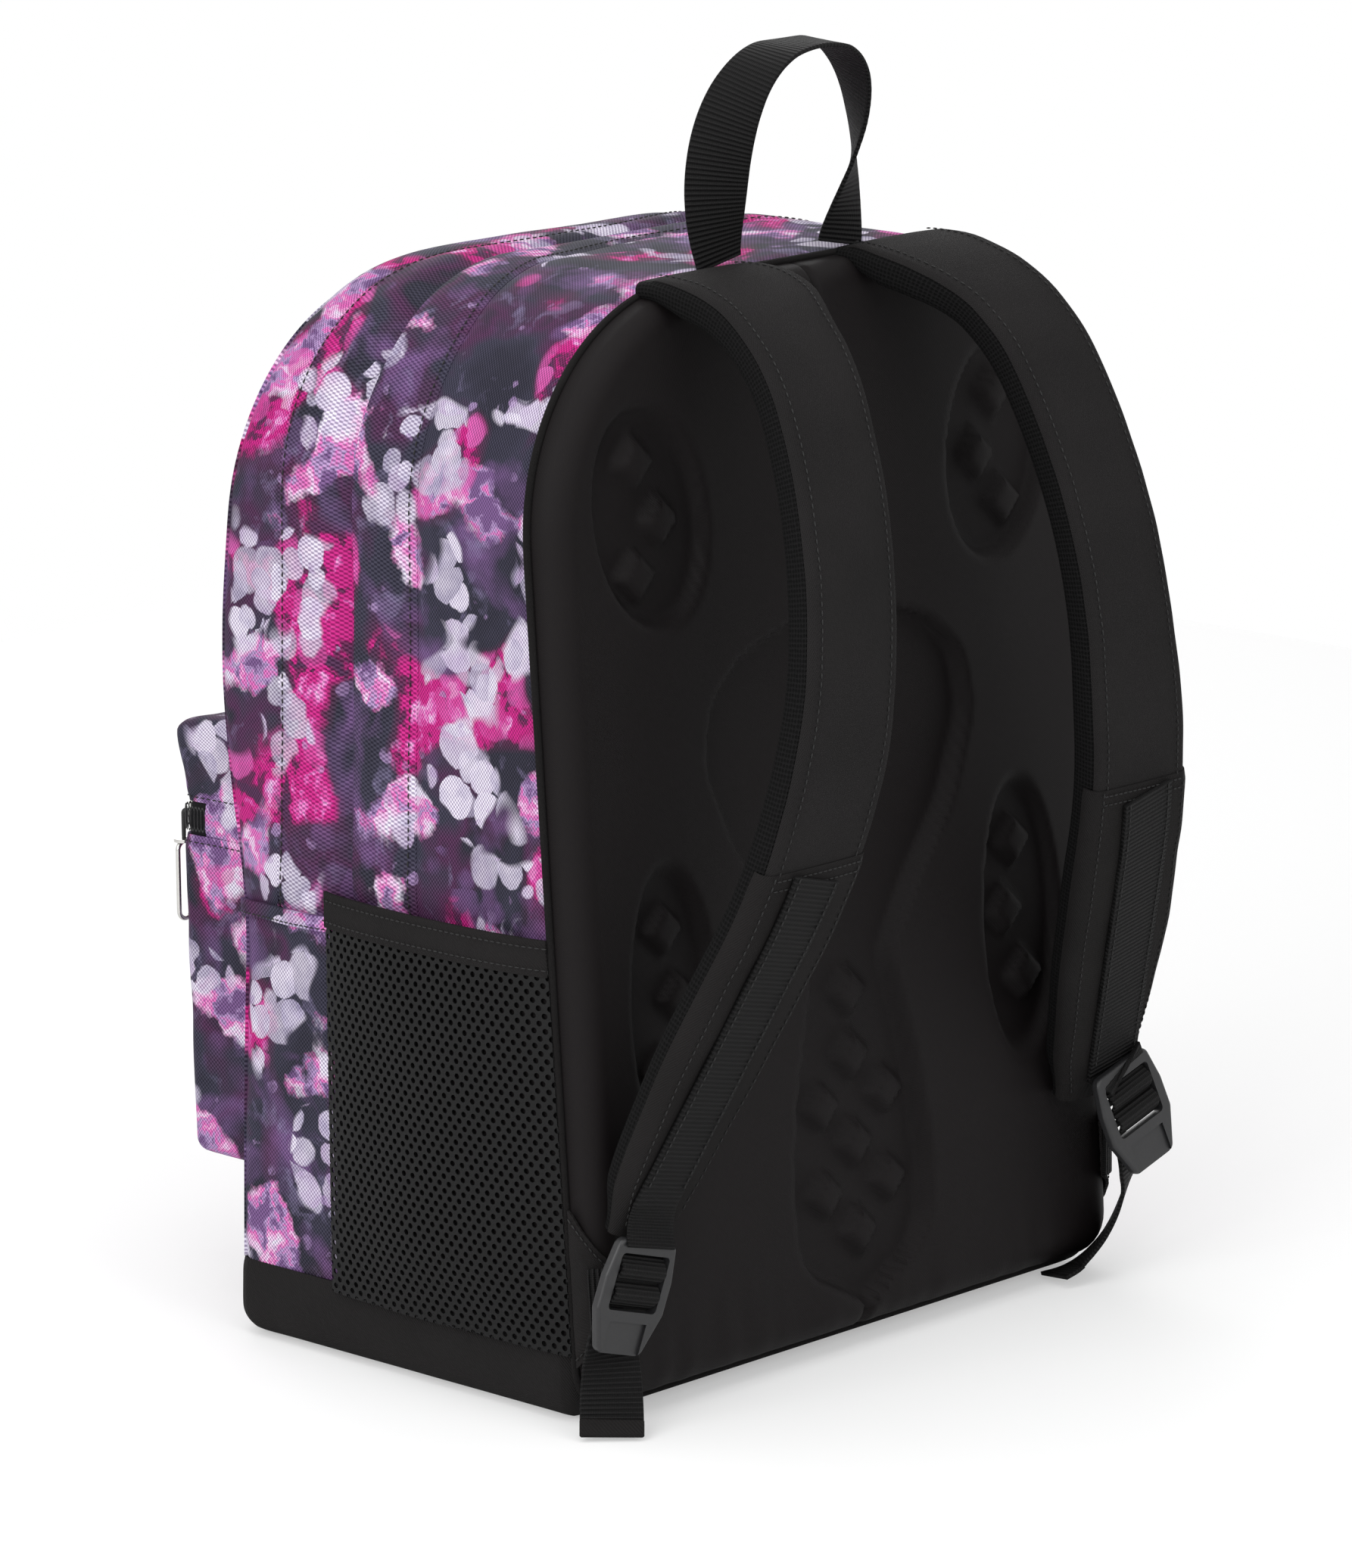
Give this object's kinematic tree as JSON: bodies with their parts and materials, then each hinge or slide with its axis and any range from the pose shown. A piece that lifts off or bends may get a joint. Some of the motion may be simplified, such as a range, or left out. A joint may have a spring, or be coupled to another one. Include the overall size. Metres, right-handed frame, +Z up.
{
  "type": "school backpack",
  "caption": "School backpack with zipped compartments, a front pocket, side pockets, a moulded padded back, contoured shoulder straps and a webbing haul handle.",
  "frame": {"origin": "on the floor at the middle of the flat base of the bag", "axes": "+Z up, +Y towards the wearer's back (the padded panel and straps), -Y towards the front pocket, +X the wearer's right"},
  "size_m": [0.3322, 0.3524, 0.5294],
  "materials": {
    "printed_cloth": "twill polyester printed in purples, pinks and greys",
    "black_cloth": "matt twill polyester",
    "pocket_mesh": "open hexagonal knit mesh",
    "lining_mesh": "close spacer mesh",
    "zip": "woven tape and moulded coil",
    "webbing": "ribbed webbing",
    "lining": "plain thin cloth over a thin padding",
    "cord": "braided cord",
    "moulded_plastic": "satin moulded",
    "board": "plain sheet",
    "dark_metal": "black die-cast",
    "nickel": "polished nickel"
  },
  "bodies": {
    "bag": {"adjuster_webbing_left": "webbing", "adjuster_webbing_right": "webbing", "back_panel": "black_cloth", "back_piping": "black_cloth", "base_board": "board", "base_panel": "black_cloth", "cloth_pocket": "printed_cloth", "cloth_pocket_binding": "black_cloth", "compartment_divider": "lining", "front_gusset": "printed_cloth", "front_panel": "printed_cloth", "front_zip": "zip", "front_zip_flap": "printed_cloth", "laptop_sleeve": "lining", "main_zip": "zip", "main_zip_flap": "printed_cloth", "mesh_pocket": "pocket_mesh", "mesh_pocket_binding": "black_cloth", "pocket_lower": "printed_cloth", "pocket_upper": "printed_cloth", "pocket_zip": "zip", "rear_gusset": "printed_cloth", "side_panel_left": "printed_cloth", "side_panel_right": "printed_cloth", "wing_left": "black_cloth", "wing_right": "black_cloth"},
    "haul_handle": {"haul_handle": "webbing"},
    "strap_right": {"strap_mesh_lining_right": "lining_mesh", "strap_overlay_right": "black_cloth", "strap_pad_right": "black_cloth", "strap_webbing_right": "webbing"},
    "strap_left": {"strap_mesh_lining_left": "lining_mesh", "strap_overlay_left": "black_cloth", "strap_pad_left": "black_cloth", "strap_webbing_left": "webbing"},
    "lock_right": {"ladder_lock_right": "moulded_plastic", "lock_webbing_right": "webbing", "webbing_tail_right": "webbing"},
    "lock_left": {"ladder_lock_left": "moulded_plastic", "lock_webbing_left": "webbing", "webbing_tail_left": "webbing"},
    "front_slider": {"front_zip_slider": "dark_metal"},
    "front_pull": {"front_zip_pull_cord": "cord", "front_zip_pull": "nickel"},
    "main_slider": {"main_zip_slider": "dark_metal"},
    "main_pull": {"main_zip_pull_cord": "cord", "main_zip_pull": "nickel"},
    "pocket_slider": {"pocket_zip_slider": "dark_metal"},
    "pocket_pull": {"pocket_zip_pull_cord": "cord", "pocket_zip_pull": "nickel"}
  },
  "joints": [
    {"name": "handle_fold", "type": "hinge", "parent": "bag", "child": "haul_handle", "pos_m": [0, 0.06325, 0.4417], "axis": [1, 0, 0], "range_deg": [-40, 75], "stiffness_Nm_per_rad": 0.05},
    {"name": "strap_swing_right", "type": "hinge", "parent": "bag", "child": "strap_right", "pos_m": [0.058, 0.07, 0.4422], "axis": [1, 0, 0], "range_deg": [0, 12]},
    {"name": "strap_swing_left", "type": "hinge", "parent": "bag", "child": "strap_left", "pos_m": [-0.058, 0.07, 0.4422], "axis": [1, 0, 0], "range_deg": [0, 12]},
    {"name": "lock_tilt_right", "type": "hinge", "parent": "strap_right", "child": "lock_right", "pos_m": [0.13995, 0.11917, 0.07538], "axis": [0.9563, 0, 0.2924], "range_deg": [0, 35]},
    {"name": "lock_tilt_left", "type": "hinge", "parent": "strap_left", "child": "lock_left", "pos_m": [-0.13501, 0.12599, 0.09259], "axis": [0.9563, 0, -0.2924], "range_deg": [0, 15]},
    {"name": "front_zip_travel", "type": "slide", "parent": "bag", "child": "front_slider", "axis": [0, 0, 1], "range_m": [0, 0.083]},
    {"name": "front_pull_swing", "type": "hinge", "parent": "front_slider", "child": "front_pull", "pos_m": [-0.1515, -0.0385, 0.256], "axis": [0, 1, 0], "range_deg": [0, 60]},
    {"name": "main_zip_travel", "type": "slide", "parent": "bag", "child": "main_slider", "axis": [0, 0, 1], "range_m": [0, 0.071]},
    {"name": "main_pull_swing", "type": "hinge", "parent": "main_slider", "child": "main_pull", "pos_m": [-0.1515, -0.0285, 0.268], "axis": [0, 1, 0], "range_deg": [0, 60]},
    {"name": "pocket_zip_travel", "type": "slide", "parent": "bag", "child": "pocket_slider", "axis": [1, 0, 0], "range_m": [-0.206, 0]},
    {"name": "pocket_pull_swing", "type": "hinge", "parent": "pocket_slider", "child": "pocket_pull", "pos_m": [0.106, -0.16756, 0.199], "axis": [-1, 0, 0], "range_deg": [0, 70]}
  ]
}
